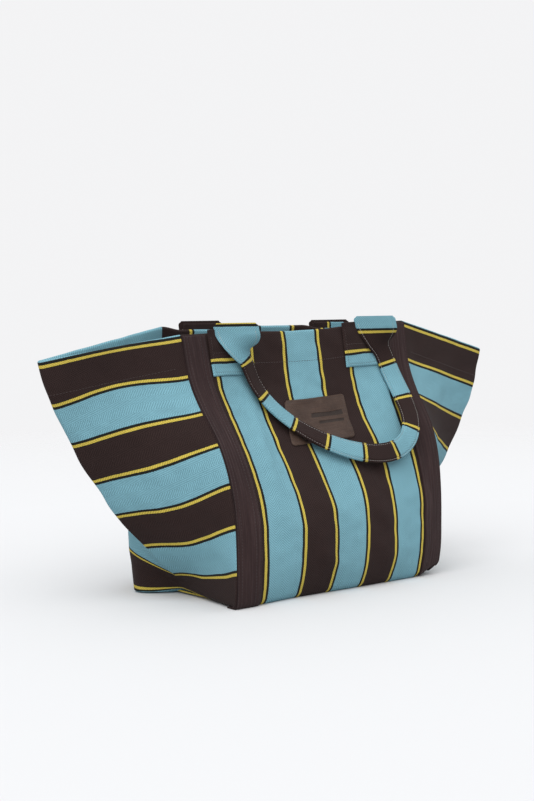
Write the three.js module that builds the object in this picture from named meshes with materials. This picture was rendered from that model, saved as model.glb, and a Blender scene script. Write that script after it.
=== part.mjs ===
// Foldable striped tote bag standing open: two soft sides, two flared gussets, a flat base,
// ribbed corner bindings, turned hems, two strap handles on sewn tabs and a leather label.
// Millimetres, +Z up, the bag stands on z = 0. The front side faces -Y, the width runs along X.
import * as THREE from "three";

// ---- driving dimensions -------------------------------------------------------------------
const BASE_WIDTH = 326; // bottom edge of a side, seam to seam
const BASE_DEPTH = 204; // front to back across the base
const RIM_WIDTH = 358; // a side at the rim, seam to seam
const TIP_X = 353; // outer tip of a folded gusset from the middle
const TIP_Z = 284; // height of that tip
const CREASE_FOOT_X = 160; // where the gusset's middle crease meets the base
const CLOTH = 2.5; // thickness of the heavy woven cloth
const GAP = 0.9; // clearance kept between layers of cloth that touch
const HEM_DEPTH = 40; // turned edge inside the mouth
const HEM_CLOTH = 1.8;
const BINDING_WIDTH = 33; // ribbed strip over each corner seam
const BINDING_CLOTH = 2;
const SEAM_SETBACK = 3.2; // a side's cloth stops this far short of the corner seam line
const BASE_SETBACK = 4.5; // the base stops this far short of the gussets' feet and the sides
const TAB_WIDTH = 52; // flat end of a handle, sewn on the side
const TAB_CLOTH = 2;
const TAB_X = [-109, 112]; // middles of the two tabs
const TAB_TOP = 344; // along the side's cloth, just over the rim
const TAB_BOTTOM = 300;
const LABEL_CLOTH = 2.2;
const LABEL_CORNERS = [
  [-54, 181],
  [50, 186],
  [57, 251],
  [-40, 247],
]; // x and distance up the cloth, anticlockwise seen from the front
const SIDE_STEPS = 20; // rows up the cloth
const PANEL_COLUMNS = 12;

// Side profile at the corner seam: depth from the middle and height, from the base to the rim.
const SEAM_PROFILE = [
  [102, 0],
  [107.5, 41],
  [110, 94.5],
  [105, 139],
  [86.5, 189],
  [60.5, 225],
  [36, 271],
  [27.5, 316],
  [26.5, 321],
];
// How far the middle of a side stands out of the seam profile (+) or sinks in (-) up the cloth.
const BELLY = [
  [0, 3],
  [45, 14],
  [92, 13],
  [130, 0],
  [160, -11],
  [200, -20],
  [250, -12],
  [300, -1],
  [341, 0],
];
// Middle line of a hanging handle: x, distance up the cloth, stand-off, width, thickness.
const HANDLE_LINE = [
  [-109, 351.4, 3.3, 46, 1.6],
  [-109, 350.2, 3.3, 49, 4.2],
  [-109, 347.6, 3.6, 50, 5.4],
  [-109, 344.8, 5.4, 49, 3],
  [-108, 337, 5.5, 48, 3],
  [-105, 327, 5.8, 44, 3.2],
  [-99, 316, 6.4, 35, 4.2],
  [-91, 304, 7, 27, 5],
  [-81, 289, 7, 25, 5],
  [-71, 268, 7, 25, 5],
  [-59, 243, 7, 25, 5],
  [-45, 219, 7, 25, 5],
  [-29, 198, 7, 25, 5],
  [-9, 179, 7, 25, 5],
  [18, 166, 7, 25, 5],
  [47, 161, 7, 25, 5],
  [78, 160, 7, 25, 5],
  [108, 163, 7, 25, 5],
  [132, 171, 7, 25, 5],
  [152, 185, 7, 25, 5],
  [166, 206, 7, 25, 5],
  [171, 231, 7, 25, 5],
  [167, 257, 7, 25, 5],
  [158, 281, 7, 25, 5],
  [145, 301, 7, 27, 5],
  [130, 315, 6.4, 35, 4.2],
  [119, 327, 5.8, 44, 3.2],
  [113, 337, 5.5, 48, 3],
  [112, 344.8, 5.4, 49, 3],
  [112, 347.6, 3.6, 50, 5.4],
  [112, 350.2, 3.3, 49, 4.2],
  [112, 351.4, 3.3, 46, 1.6],
];

// ---- curves of the cloth ------------------------------------------------------------------
function lengthsOf(points) {
  const lengths = [0];
  for (let i = 1; i < points.length; i++) {
    const step = Math.hypot(points[i][0] - points[i - 1][0], points[i][1] - points[i - 1][1]);
    lengths.push(lengths[i - 1] + step);
  }
  return lengths;
}

// Smooth curve through (position, value) pairs with slopes limited so that it never overshoots.
function smoothCurve(positions, values) {
  const n = positions.length;
  const chord = [];
  for (let i = 0; i < n - 1; i++) {
    chord.push((values[i + 1] - values[i]) / (positions[i + 1] - positions[i]));
  }
  const slope = [chord[0]];
  for (let i = 1; i < n - 1; i++) {
    const same = chord[i - 1] * chord[i] > 0;
    slope.push(same ? (2 * chord[i - 1] * chord[i]) / (chord[i - 1] + chord[i]) : 0);
  }
  slope.push(chord[n - 2]);
  return (at) => {
    let i = 0;
    while (i < n - 2 && at > positions[i + 1]) i++;
    const width = positions[i + 1] - positions[i];
    const t = (at - positions[i]) / width;
    const a = values[i] * (1 + 2 * t) * (1 - t) * (1 - t);
    const b = values[i + 1] * t * t * (3 - 2 * t);
    const c = width * slope[i] * t * (1 - t) * (1 - t);
    const d = width * slope[i + 1] * t * t * (t - 1);
    return a + b + c + d;
  };
}

const seamLengths = lengthsOf(SEAM_PROFILE);
const RIM = seamLengths[seamLengths.length - 1];
const seamDepth = smoothCurve(seamLengths, SEAM_PROFILE.map((p) => p[0]));
const seamHeight = smoothCurve(seamLengths, SEAM_PROFILE.map((p) => p[1]));
const belly = smoothCurve(BELLY.map((p) => p[0]), BELLY.map((p) => p[1]));

function halfWidth(s) {
  const share = Math.min(Math.max(s / RIM, 0), 1);
  return (BASE_WIDTH + (RIM_WIDTH - BASE_WIDTH) * share) / 2;
}

// Outer surface of the front side at x and distance s up the cloth.
function sidePoint(x, s) {
  const inside = Math.min(s, RIM);
  const across = Math.max(1 - (x / halfWidth(inside)) ** 2, 0);
  const depth = seamDepth(inside) + across * belly(inside);
  return new THREE.Vector3(x, -depth, seamHeight(inside) + Math.max(s - RIM, 0));
}

function sideNormal(x, s) {
  const up = sidePoint(x, s + 1).sub(sidePoint(x, Math.max(s - 1, 0)));
  const side = sidePoint(x + 1, s).sub(sidePoint(x - 1, s));
  return side.cross(up).normalize();
}

// The same surface moved outward by off (negative moves it into the bag).
function sideLayer(x, s, off) {
  const point = sidePoint(x, s).addScaledVector(sideNormal(x, s), off);
  point.z = Math.max(point.z, 0);
  return point;
}

// ---- solids from two facing grids ---------------------------------------------------------
// outer and inner are grids [row][column] of points; the solid is everything between them.
function solidBetween(outer, inner) {
  const rows = outer.length;
  const columns = outer[0].length;
  const positions = [];
  for (const grid of [outer, inner]) {
    for (const row of grid) {
      for (const p of row) positions.push(p.x, p.y, p.z);
    }
  }
  const at = (layer, r, c) => layer * rows * columns + r * columns + c;
  const faces = [];
  const quad = (a, b, c, d) => faces.push(a, b, c, a, c, d);
  for (let r = 0; r < rows - 1; r++) {
    for (let c = 0; c < columns - 1; c++) {
      quad(at(0, r, c), at(0, r, c + 1), at(0, r + 1, c + 1), at(0, r + 1, c));
      quad(at(1, r, c), at(1, r + 1, c), at(1, r + 1, c + 1), at(1, r, c + 1));
    }
  }
  for (let c = 0; c < columns - 1; c++) {
    const top = rows - 1;
    quad(at(0, 0, c), at(1, 0, c), at(1, 0, c + 1), at(0, 0, c + 1));
    quad(at(0, top, c), at(0, top, c + 1), at(1, top, c + 1), at(1, top, c));
  }
  for (let r = 0; r < rows - 1; r++) {
    const end = columns - 1;
    quad(at(0, r, 0), at(0, r + 1, 0), at(1, r + 1, 0), at(1, r, 0));
    quad(at(0, r, end), at(1, r, end), at(1, r + 1, end), at(0, r + 1, end));
  }
  const geometry = new THREE.BufferGeometry();
  geometry.setAttribute("position", new THREE.Float32BufferAttribute(positions, 3));
  geometry.setIndex(faces);
  geometry.computeVertexNormals();
  return geometry;
}

function grid(rows, columns, pointAt) {
  const made = [];
  for (let r = 0; r <= rows; r++) {
    const row = [];
    for (let c = 0; c <= columns; c++) row.push(pointAt(c / columns, r / rows));
    made.push(row);
  }
  return made;
}

// A layer of cloth on the front side: xAt(u, s) places its columns, s runs from low to high.
function sidePiece(xAt, low, high, nearOff, farOff, columns, rows) {
  const layer = (off) =>
    grid(rows, columns, (u, v) => {
      const s = low + (high - low) * v;
      return sideLayer(xAt(u, s), s, off);
    });
  return solidBetween(layer(farOff), layer(nearOff));
}

// Mirror image of a geometry across a plane through the middle; axis 0 is X and 1 is Y.
function mirrored(geometry, axis) {
  const copy = geometry.clone();
  const positions = copy.getAttribute("position");
  for (let i = 0; i < positions.count; i++) {
    if (axis === 0) positions.setX(i, -positions.getX(i));
    if (axis === 1) positions.setY(i, -positions.getY(i));
  }
  const index = copy.getIndex();
  for (let i = 0; i < index.count; i += 3) {
    const b = index.getX(i + 1);
    index.setX(i + 1, index.getX(i + 2));
    index.setX(i + 2, b);
  }
  copy.computeVertexNormals();
  return copy;
}

// ---- left gusset: two leaves that meet in a crease and flare outward --------------------------
function gussetSeam(s) {
  return new THREE.Vector3(-halfWidth(s), -seamDepth(s), seamHeight(s));
}

// The crease runs from its foot at the base to the tip: distance up the cloth, out, height.
const CREASE_LINE = [
  [0, CREASE_FOOT_X, 0],
  [42, 181, 27],
  [95, 220, 67],
  [140, 254, 104],
  [193, 286, 147],
  [238, 312, 189],
  [291, 337, 236],
  [RIM, TIP_X, TIP_Z],
];
const creaseOut = smoothCurve(CREASE_LINE.map((p) => p[0]), CREASE_LINE.map((p) => p[1]));
const creaseHeight = smoothCurve(CREASE_LINE.map((p) => p[0]), CREASE_LINE.map((p) => p[2]));

function gussetCrease(s) {
  return new THREE.Vector3(-creaseOut(s), 0, creaseHeight(s));
}

// One row of the gusset moved inward by off, from the front seam over the crease to the back.
function gussetRow(s, off, perLeaf, seamInset) {
  const seam = gussetSeam(s);
  const crease = gussetCrease(s);
  const across = crease.clone().sub(seam).normalize();
  const up = gussetSeam(Math.min(s + 1, RIM)).sub(gussetSeam(Math.max(s - 1, 0)));
  up.add(gussetCrease(s + 1).sub(gussetCrease(s - 1)));
  const inward = across.clone().cross(up).normalize();
  if (inward.x < 0) inward.negate();
  const seamIn = seam.clone().addScaledVector(inward, off).addScaledVector(across, seamInset);
  const creaseIn = crease.clone();
  creaseIn.x += off / Math.max(inward.x, 0.12);
  const row = [];
  for (let i = 0; i <= perLeaf; i++) row.push(seamIn.clone().lerp(creaseIn, i / perLeaf));
  for (let i = perLeaf - 1; i >= 0; i--) {
    const p = row[i].clone();
    p.y = -p.y;
    row.push(p);
  }
  for (const p of row) p.z = Math.max(p.z, 0);
  return row;
}

function gussetPiece(low, high, farOff, nearOff, perLeaf, rows, seamInset) {
  const layer = (off) => {
    const made = [];
    for (let r = 0; r <= rows; r++) {
      made.push(gussetRow(low + ((high - low) * r) / rows, off, perLeaf, seamInset));
    }
    return made;
  };
  // columns run front to back, so the outer grid comes second to face the solid outward
  return solidBetween(layer(nearOff), layer(farOff));
}

// ---- handle: a strap lofted along its hanging line ------------------------------------------
function handleSolid() {
  const line = HANDLE_LINE;
  const centre = (i) => sideLayer(line[i][0], line[i][1], line[i][2]);
  const sections = [];
  for (let i = 0; i < line.length; i++) {
    const before = centre(Math.max(i - 1, 0));
    const after = centre(Math.min(i + 1, line.length - 1));
    const along = after.sub(before).normalize();
    const atFold = i < 4 || i > line.length - 5;
    if (atFold) along.set(0, 0, i < 4 ? -1 : 1);
    const outward = sideNormal(line[i][0], Math.min(line[i][1], RIM - 1));
    const across = along.clone().cross(outward).normalize();
    const face = across.clone().cross(along).normalize();
    const half = line[i][3] / 2;
    const thick = line[i][4] / 2;
    const corner = (a, b) => centre(i).addScaledVector(across, a * half).addScaledVector(face, b * thick);
    sections.push([corner(-1, -1), corner(1, -1), corner(1, 1), corner(-1, 1)]);
  }
  const positions = [];
  for (const section of sections) {
    for (const p of section) positions.push(p.x, p.y, p.z);
  }
  const faces = [];
  for (let i = 0; i < sections.length - 1; i++) {
    for (let k = 0; k < 4; k++) {
      const a = 4 * i + k;
      const b = 4 * i + ((k + 1) % 4);
      faces.push(a, b, b + 4, a, b + 4, a + 4);
    }
  }
  const last = 4 * (sections.length - 1);
  faces.push(0, 2, 1, 0, 3, 2, last, last + 1, last + 2, last, last + 2, last + 3);
  const geometry = new THREE.BufferGeometry();
  geometry.setAttribute("position", new THREE.Float32BufferAttribute(positions, 3));
  geometry.setIndex(faces);
  return geometry;
}

// Turns a closed geometry's faces outward if they came out facing in.
function facingOut(geometry) {
  const p = geometry.getAttribute("position");
  const index = geometry.getIndex();
  const a = new THREE.Vector3();
  const b = new THREE.Vector3();
  const c = new THREE.Vector3();
  let volume = 0;
  for (let i = 0; i < index.count; i += 3) {
    a.fromBufferAttribute(p, index.getX(i));
    b.fromBufferAttribute(p, index.getX(i + 1));
    c.fromBufferAttribute(p, index.getX(i + 2));
    volume += a.dot(b.cross(c));
  }
  if (volume < 0) {
    for (let i = 0; i < index.count; i += 3) {
      const second = index.getX(i + 1);
      index.setX(i + 1, index.getX(i + 2));
      index.setX(i + 2, second);
    }
  }
  geometry.computeVertexNormals();
  return geometry;
}

// ---- materials ------------------------------------------------------------------------------
const turquoiseCloth = () => new THREE.MeshStandardMaterial({ color: 0x7ab2c1, roughness: 0.8 });
const brownCloth = () => new THREE.MeshStandardMaterial({ color: 0x3d3133, roughness: 0.85 });
const bindingCloth = () => new THREE.MeshStandardMaterial({ color: 0x43383a, roughness: 0.85 });
const leather = () => new THREE.MeshStandardMaterial({ color: 0x4a3328, roughness: 0.6 });

const bag = new THREE.Group();

function addPiece(name, geometry, material) {
  const mesh = new THREE.Mesh(facingOut(geometry), material);
  mesh.name = name;
  bag.add(mesh);
}

function addPair(frontName, backName, geometry, material) {
  addPiece(frontName, geometry, material());
  addPiece(backName, mirrored(geometry, 1), material());
}

// ---- the two sides --------------------------------------------------------------------------
const sideColumns = (u, s) => (2 * u - 1) * (halfWidth(s) - SEAM_SETBACK);
const side = sidePiece(sideColumns, 0, RIM, -CLOTH, 0, PANEL_COLUMNS, SIDE_STEPS);
addPair("front_panel", "back_panel", side, turquoiseCloth);

// ---- the two gussets ------------------------------------------------------------------------
const gusset = facingOut(gussetPiece(0, RIM, 0, CLOTH, 4, SIDE_STEPS, 0));
addPiece("left_gusset", gusset, turquoiseCloth());
addPiece("right_gusset", mirrored(gusset, 0), turquoiseCloth());

// ---- the base -------------------------------------------------------------------------------
const base = new THREE.BoxGeometry(
  2 * (CREASE_FOOT_X - BASE_SETBACK),
  BASE_DEPTH - 2 * BASE_SETBACK,
  CLOTH,
);
base.translate(0, 0, CLOTH / 2);
addPiece("base_panel", base, brownCloth());

// ---- ribbed bindings over the four corner seams -----------------------------------------------
const bindingColumns = (u, s) => -halfWidth(s) + 0.5 + BINDING_WIDTH * u;
const bindingNear = GAP;
const bindingFar = GAP + BINDING_CLOTH;
const binding = sidePiece(bindingColumns, 0, RIM, bindingNear, bindingFar, 2, SIDE_STEPS);
addPair("front_left_binding", "back_left_binding", binding, bindingCloth);
const otherBinding = mirrored(facingOut(binding.clone()), 0);
addPair("front_right_binding", "back_right_binding", otherBinding, bindingCloth);

// ---- turned hems inside the mouth -------------------------------------------------------------
const hemColumns = (u, s) => (2 * u - 1) * (halfWidth(s) - 9);
const hemNear = -CLOTH - GAP - HEM_CLOTH;
const hemFar = -CLOTH - GAP;
const hem = sidePiece(hemColumns, RIM - HEM_DEPTH, RIM, hemNear, hemFar, 8, 3);
addPair("front_hem", "back_hem", hem, turquoiseCloth);
const gussetHemFar = CLOTH + GAP;
const gussetHemNear = CLOTH + GAP + HEM_CLOTH;
const gussetHem = facingOut(gussetPiece(RIM - HEM_DEPTH, RIM, gussetHemFar, gussetHemNear, 4, 3, 3));
addPiece("left_hem", gussetHem, turquoiseCloth());
addPiece("right_hem", mirrored(gussetHem, 0), turquoiseCloth());

// ---- handle tabs sewn on the sides ------------------------------------------------------------
const tabNames = ["left", "right"];
TAB_X.forEach((middle, i) => {
  const tabColumns = (u) => middle + (u - 0.5) * TAB_WIDTH;
  const tab = sidePiece(tabColumns, TAB_BOTTOM, TAB_TOP, GAP, GAP + TAB_CLOTH, 2, 6);
  addPair("front_" + tabNames[i] + "_tab", "back_" + tabNames[i] + "_tab", tab, turquoiseCloth);
});

// ---- handles ----------------------------------------------------------------------------------
addPair("front_handle", "back_handle", handleSolid(), brownCloth);

// ---- leather label on the front ---------------------------------------------------------------
function labelLayer(off) {
  return grid(4, 4, (u, v) => {
    const [a, b, c, d] = LABEL_CORNERS;
    const mix = (i) => (a[i] * (1 - u) + b[i] * u) * (1 - v) + (d[i] * (1 - u) + c[i] * u) * v;
    return sideLayer(mix(0), mix(1), off);
  });
}
addPiece("leather_label", solidBetween(labelLayer(GAP + LABEL_CLOTH), labelLayer(GAP)), leather());

export default bag;
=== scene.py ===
"""Foldable striped tote bag, standing open: cloth, bindings, straps, tabs, stitching and a leather label."""
import math

import bmesh
import bpy
import numpy as np
from mathutils import Matrix, Vector


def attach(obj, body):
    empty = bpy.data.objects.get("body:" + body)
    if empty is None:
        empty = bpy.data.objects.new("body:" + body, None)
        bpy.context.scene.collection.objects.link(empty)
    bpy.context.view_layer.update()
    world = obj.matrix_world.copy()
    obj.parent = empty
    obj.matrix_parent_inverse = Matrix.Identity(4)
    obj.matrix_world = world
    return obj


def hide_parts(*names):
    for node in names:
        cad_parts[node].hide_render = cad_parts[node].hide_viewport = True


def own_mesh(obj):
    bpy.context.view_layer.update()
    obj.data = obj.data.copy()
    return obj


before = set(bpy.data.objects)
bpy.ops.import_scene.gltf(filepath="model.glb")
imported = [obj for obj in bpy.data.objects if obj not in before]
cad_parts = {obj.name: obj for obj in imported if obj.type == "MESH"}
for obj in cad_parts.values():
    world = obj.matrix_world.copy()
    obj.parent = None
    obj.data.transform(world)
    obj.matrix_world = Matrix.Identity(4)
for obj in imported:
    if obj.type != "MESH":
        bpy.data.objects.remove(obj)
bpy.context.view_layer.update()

MM = 0.001
FLOOR_GAP = 0.0002  # lowest height of any cloth, in metres

# ---- camera ------------------------------------------------------------------------------------
# The camera's place, angles and lens come from a least-squares fit.
CAMERA_AT = (-1.0971, -1.3588, 0.3119)
CAMERA_YAW, CAMERA_PITCH, CAMERA_ROLL = 38.1, -2.745, -0.99  # degrees
CAMERA_LENS = 62.07


def make_camera():
    yaw, pitch, roll = (math.radians(a) for a in (CAMERA_YAW, CAMERA_PITCH, CAMERA_ROLL))
    level = math.cos(pitch)
    forward = np.array([level * math.sin(yaw), level * math.cos(yaw), math.sin(pitch)])
    right = np.cross(forward, [0, 0, 1.0])
    right /= np.linalg.norm(right)
    up = np.cross(right, forward)
    x = math.cos(roll) * right + math.sin(roll) * up
    y = -math.sin(roll) * right + math.cos(roll) * up
    data = bpy.data.cameras.new("camera")
    data.sensor_width = 36
    data.lens = CAMERA_LENS
    data.clip_start, data.clip_end = 0.05, 60
    cam = bpy.data.objects.new("camera", data)
    m = Matrix.Identity(4)
    for i in range(3):
        m[i][0], m[i][1], m[i][2], m[i][3] = x[i], y[i], -forward[i], CAMERA_AT[i]
    cam.matrix_world = m
    bpy.context.scene.collection.objects.link(cam)
    bpy.context.scene.camera = cam


make_camera()

# ---- curves of the bag, in millimetres ----------------------------------------------------------


def smooth_curve(pos, val):
    """Smooth curve through points, with slopes limited so that it never overshoots."""
    pos, val = np.array(pos, float), np.array(val, float)
    chord = np.diff(val) / np.diff(pos)
    a, b = chord[:-1], chord[1:]
    same = a * b > 0
    inner = np.where(same, 2 * a * b / np.where(same, a + b, 1), 0)
    slope = np.r_[chord[0], inner, chord[-1]]

    def at(x):
        x = np.asarray(x, float)
        i = np.clip(np.searchsorted(pos, x, side="right") - 1, 0, len(pos) - 2)
        w = pos[i + 1] - pos[i]
        t = (x - pos[i]) / w
        return (val[i] * (1 + 2 * t) * (1 - t) ** 2 + val[i + 1] * t * t * (3 - 2 * t)
                + w * slope[i] * t * (1 - t) ** 2 + w * slope[i + 1] * t * t * (t - 1))

    return at


def softened(curve, reach):
    """The curve averaged over a short stretch, so that bends in the cloth are round."""
    steps = np.linspace(-1, 1, 9)
    weight = 1.1 - steps ** 2
    weight /= weight.sum()

    def at(x):
        x = np.asarray(x, float)
        room = np.minimum(reach, np.minimum(np.maximum(x, 0), np.maximum(RIM - x, 0)))
        return sum(k * curve(x + t * room) for k, t in zip(weight, steps))

    return at


SOFT = 26         # reach of the softening of the sides
CREASE_SOFT = 22  # and of the gussets' creases
# Corner seam from foot to rim: depth from the middle, and height. These points and the gusset's crease
# further down follow a least-squares fit and traced rays, rounded.
SEAM = np.array([(102, 0), (107.5, 41), (110, 94.5), (105, 139), (86.5, 189), (60.5, 225),
                 (36, 271), (27.5, 316), (26.5, 321)], float)
SEAM_AT = np.r_[0, np.cumsum(np.hypot(*np.diff(SEAM, axis=0).T))]
RIM = SEAM_AT[-1]
seam_depth = softened(smooth_curve(SEAM_AT, SEAM[:, 0]), SOFT)
seam_height = softened(smooth_curve(SEAM_AT, SEAM[:, 1]), SOFT)
# how far the middle of a side stands out (+) or sinks in (-) up the cloth
belly = softened(smooth_curve([0, 45, 92, 130, 160, 200, 250, 300, 341],
                              [3, 14, 13, 0, -11, -20, -12, -1, 0]), SOFT)
FOOT_HALF, RIM_HALF = 163, 179  # half the width of a side at its foot and at its rim


def half_width(s):
    return FOOT_HALF + (RIM_HALF - FOOT_HALF) * np.clip(np.asarray(s, float) / RIM, 0, 1)


def hump(x, middle, reach):
    """A smooth bump of height 1 at middle that ends at reach on both sides."""
    t = np.clip(np.abs((np.asarray(x, float) - middle) / reach), 0, 1)
    return (1 - t * t) ** 2


def rise(x, low, high):
    """A smooth step from 0 at low to 1 at high."""
    t = np.clip((np.asarray(x, float) - low) / (high - low), 0, 1)
    return t * t * (3 - 2 * t)


def ripple(a, b, seed, coarse, fine, n=9):
    """Gentle unevenness of hanging cloth, about -1 to 1; wavelengths from fine to coarse millimetres."""
    rng = np.random.default_rng(seed)
    out = 0
    for _ in range(n):
        size = rng.uniform(fine, coarse)
        turn = rng.uniform(0, 2 * math.pi)
        shift = rng.uniform(0, 2 * math.pi)
        k = 2 * math.pi / size
        out = out + np.sin(k * (math.cos(turn) * a + math.sin(turn) * b) + shift) * (size / coarse) ** 0.7
    return out / math.sqrt(n)


# how far the front rim hangs below an even one, along its width
rim_drop = smooth_curve([-190, -179, -109, -22, 30, 83, 130, 179, 190],
                        [10, 10, 8, 7.5, 6, 2, 0, -4, -4])
FOOT_REACH = 14          # how far the lower front left corner reaches out
FOOT_WAY = (0.62, 0.79)  # and which way: to the left, and to the front


def near_foot(x, s):
    """How far the lower front left corner reaches out."""
    return FOOT_REACH * rise(-x, 60, 160) * (1 - rise(s, 5, 110))


def lean(x, s, look):
    """Extra depth and extra height that make a side uneven. Looks under 5 are the front."""
    up = rise(s, 140, RIM)
    if look < 5:
        deep = -6 * rise(x, 40, FOOT_HALF) * hump(s, 105, 100)
        corner = 12 * rise(x, half_width(s) - 44, half_width(s) - 2) * hump(s, 0, 60)
        return deep, -rim_drop(x) * up + corner
    by_straps = rise(np.abs(x), 45, 80) - rise(np.abs(x), 150, 176)
    return -9 * rise(-x, 60, RIM_HALF) * rise(s, 220, RIM), -4 * up * by_straps


def side_point(x, s, look=0, folds=True):
    """Outer face of the front side at x and at distance s up the cloth.

    look picks the side and its small folds."""
    x, s = np.broadcast_arrays(np.asarray(x, float), np.asarray(s, float))
    si = np.clip(s, 0, RIM)
    hw = half_width(si)
    across = np.clip(1 - (x / hw) ** 2, 0, None)
    depth = seam_depth(si) + across * belly(si)
    z = seam_height(si) + np.maximum(s - RIM, 0)
    if folds:
        edge = rise(hw - np.abs(x), 6, 60)
        low = rise(si, 4, 50)
        top = 1 - 0.6 * rise(si, 250, RIM)
        depth = depth + 2.4 * edge * low * top * ripple(x, si, 11 + look, 150, 45)
        depth = depth + 0.7 * edge * low * ripple(x, si, 31 + look, 42, 18)
        # a soft upright fold beside the binding, and one slanting below the label
        depth = depth + 2.6 * np.exp(-((x + 96 - 0.10 * (si - 200)) / 9) ** 2) * hump(si, 210, 120) * edge
        depth = depth - 2.0 * np.exp(-((x - 62 + 0.22 * (si - 120)) / 11) ** 2) * hump(si, 120, 80)
    # the cloth turns in a little all round the foot
    tuck = np.clip(1 - si / 8, 0, 1) ** 2
    deep, high = lean(x, si, look)
    out = near_foot(x, si) if look < 5 else 0
    y = -(depth - 4.5 * tuck + deep + FOOT_WAY[1] * out)
    return np.stack([x - FOOT_WAY[0] * out, y, z + high], -1)


def side_frame(x, s, look=0, folds=True):
    """Point, outward normal, and the up direction along the cloth."""
    p = side_point(x, s, look, folds)
    high = np.clip(s + 1.0, 2.0, RIM)
    up = side_point(x, high, look, folds) - side_point(x, high - 2.0, look, folds)
    across = side_point(x + 1, s, look, folds) - side_point(x - 1, s, look, folds)
    n = np.cross(across, up)
    n /= np.linalg.norm(n, axis=-1, keepdims=True)
    up /= np.linalg.norm(up, axis=-1, keepdims=True)
    return p, n, up


# ---- meshes ---------------------------------------------------------------------------------------


def finish_mesh(name, me, material, uv, angle):
    """Give a new mesh its UVs, smooth shading and material, and put it in the scene."""
    if uv is not None:
        layer = me.uv_layers.new(name="Cloth")
        index = np.zeros(len(me.loops), int)
        me.loops.foreach_get("vertex_index", index)
        layer.data.foreach_set("uv", (np.array(uv, float).reshape(-1, 2)[index] * MM).ravel())
    me.polygons.foreach_set("use_smooth", np.ones(len(me.polygons), bool))
    me.set_sharp_from_angle(angle=math.radians(angle))
    me.materials.append(material)
    me.update()
    ob = bpy.data.objects.new(name, me)
    bpy.context.scene.collection.objects.link(ob)
    return ob


def add_mesh(name, verts, faces, material, uv=None, mirror=()):
    """A closed mesh of four-sided faces, from millimetres; mirror holds the axes that are turned round."""
    verts = np.array(verts, float).reshape(-1, 3) * MM
    verts[:, 2] = np.maximum(verts[:, 2], FLOOR_GAP)
    faces = np.array(faces, int)
    for axis in mirror:
        verts[:, axis] *= -1
    a, b, c, d = (verts[faces[:, i]] for i in range(4))
    volume = np.einsum("ij,ij->i", a, np.cross(b, c)).sum()
    volume += np.einsum("ij,ij->i", a, np.cross(c, d)).sum()
    if volume < 0:
        faces = faces[:, ::-1]
    me = bpy.data.meshes.new(name)
    me.from_pydata(verts.tolist(), [], faces.tolist())
    return finish_mesh(name, me, material, uv, 50)


def add_mesh_mixed(name, verts, quads, tris, material, uv, mirror):
    """As add_mesh, with both four-sided and three-sided faces."""
    verts = np.array(verts, float) * MM
    for axis in mirror:
        verts[:, axis] *= -1
    me = bpy.data.meshes.new(name)
    me.from_pydata(verts.tolist(), [], quads.tolist() + tris.tolist())
    bm = bmesh.new()
    bm.from_mesh(me)
    bmesh.ops.recalc_face_normals(bm, faces=bm.faces)
    if bm.calc_volume(signed=True) < 0:
        bmesh.ops.reverse_faces(bm, faces=bm.faces)
    bm.to_mesh(me)
    bm.free()
    return finish_mesh(name, me, material, uv, 60)


def grid_faces(rows, cols):
    r, c = np.meshgrid(np.arange(rows - 1), np.arange(cols - 1), indexing="ij")
    a = (r * cols + c).ravel()
    return np.stack([a, a + 1, a + cols + 1, a + cols], 1)


def shell_from(centre, normal, half, uv):
    """Closed cloth of thickness 2 * half round a grid of points, with a rounded edge."""
    rows, cols = centre.shape[:2]
    half = np.broadcast_to(half, centre.shape[:2])[..., None]
    outer, inner = centre + normal * half, centre - normal * half
    n = rows * cols
    faces = [grid_faces(rows, cols), grid_faces(rows, cols)[:, ::-1] + n]
    ring = np.r_[np.arange(cols), cols * np.arange(1, rows) + cols - 1,
                 n - cols + np.arange(cols - 2, -1, -1), cols * np.arange(rows - 2, 0, -1)]
    mid = centre.reshape(-1, 3)[ring]
    core = centre.copy()
    core[0], core[-1] = centre[min(1, rows - 1)], centre[-2]
    core[:, 0], core[:, -1] = core[:, 1], core[:, -2]
    out = mid - core.reshape(-1, 3)[ring]
    out /= np.maximum(np.linalg.norm(out, axis=1, keepdims=True), 1e-9)
    mid = mid + out * half.reshape(-1, 1)[ring] * 0.8
    m = len(ring)
    k = np.arange(m)
    k2 = (k + 1) % m
    faces.append(np.stack([ring[k], 2 * n + k, 2 * n + k2, ring[k2]], 1))
    faces.append(np.stack([2 * n + k, ring[k] + n, ring[k2] + n, 2 * n + k2], 1))
    uvs = uv.reshape(-1, 2)
    return (np.vstack([outer.reshape(-1, 3), inner.reshape(-1, 3), mid]), np.vstack(faces),
            np.vstack([uvs, uvs, uvs[ring]]))


def grid_normals(p):
    n = np.cross(np.gradient(p, axis=1), np.gradient(p, axis=0))
    return n / np.maximum(np.linalg.norm(n, axis=-1, keepdims=True), 1e-12)


# ---- materials ---------------------------------------------------------------------------------


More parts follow.
